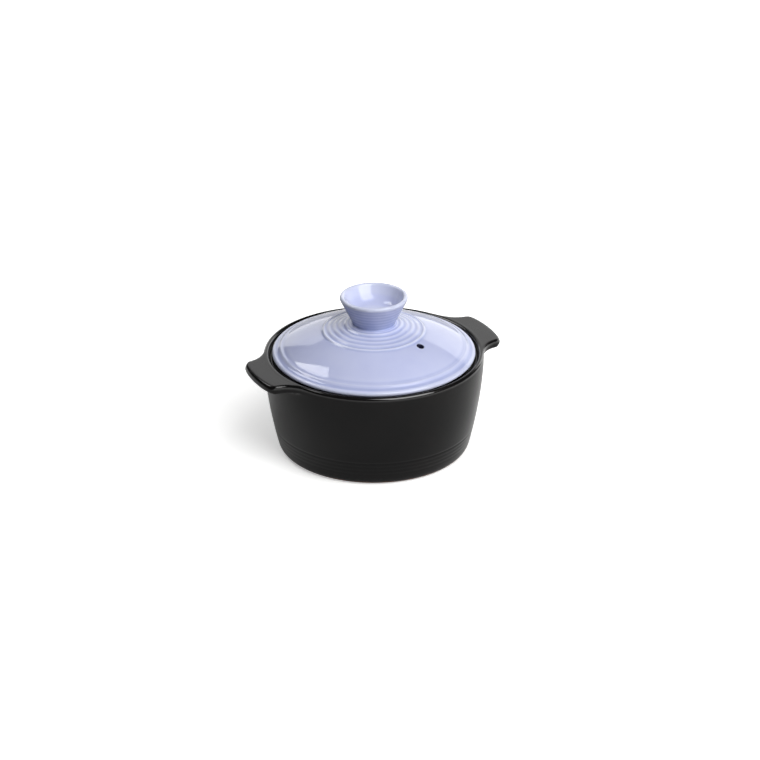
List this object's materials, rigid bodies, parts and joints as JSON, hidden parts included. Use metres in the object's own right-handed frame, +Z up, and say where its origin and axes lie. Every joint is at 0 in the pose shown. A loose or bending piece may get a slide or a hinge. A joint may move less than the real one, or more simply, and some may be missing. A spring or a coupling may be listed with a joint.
{
  "type": "lidded casserole pot",
  "caption": "Round glazed stoneware casserole with lug handles at the rim and a domed, vented lid that lifts off by a hollow cup knob.",
  "frame": {"origin": "middle of the foot ring, on the surface that the pot stands on", "axes": "+Z up through the knob, +X towards the right-hand lug handle, +Y away from the viewer"},
  "size_m": [0.2392, 0.2, 0.1465],
  "materials": {
    "black_glaze": "satin black stoneware glaze over reddish-brown clay, bare on the foot ring",
    "blue_glaze": "glossy pale periwinkle-blue stoneware glaze"
  },
  "bodies": {
    "pot": {"pot_bowl": "black_glaze", "lug_handle_left": "black_glaze", "lug_handle_right": "black_glaze"},
    "lid": {"lid_dome": "blue_glaze", "lid_knob": "blue_glaze"}
  },
  "joints": [
    {"name": "lid_lift", "type": "slide", "parent": "pot", "child": "lid", "axis": [0, 0, 1], "range_m": [0, 0.12]}
  ]
}
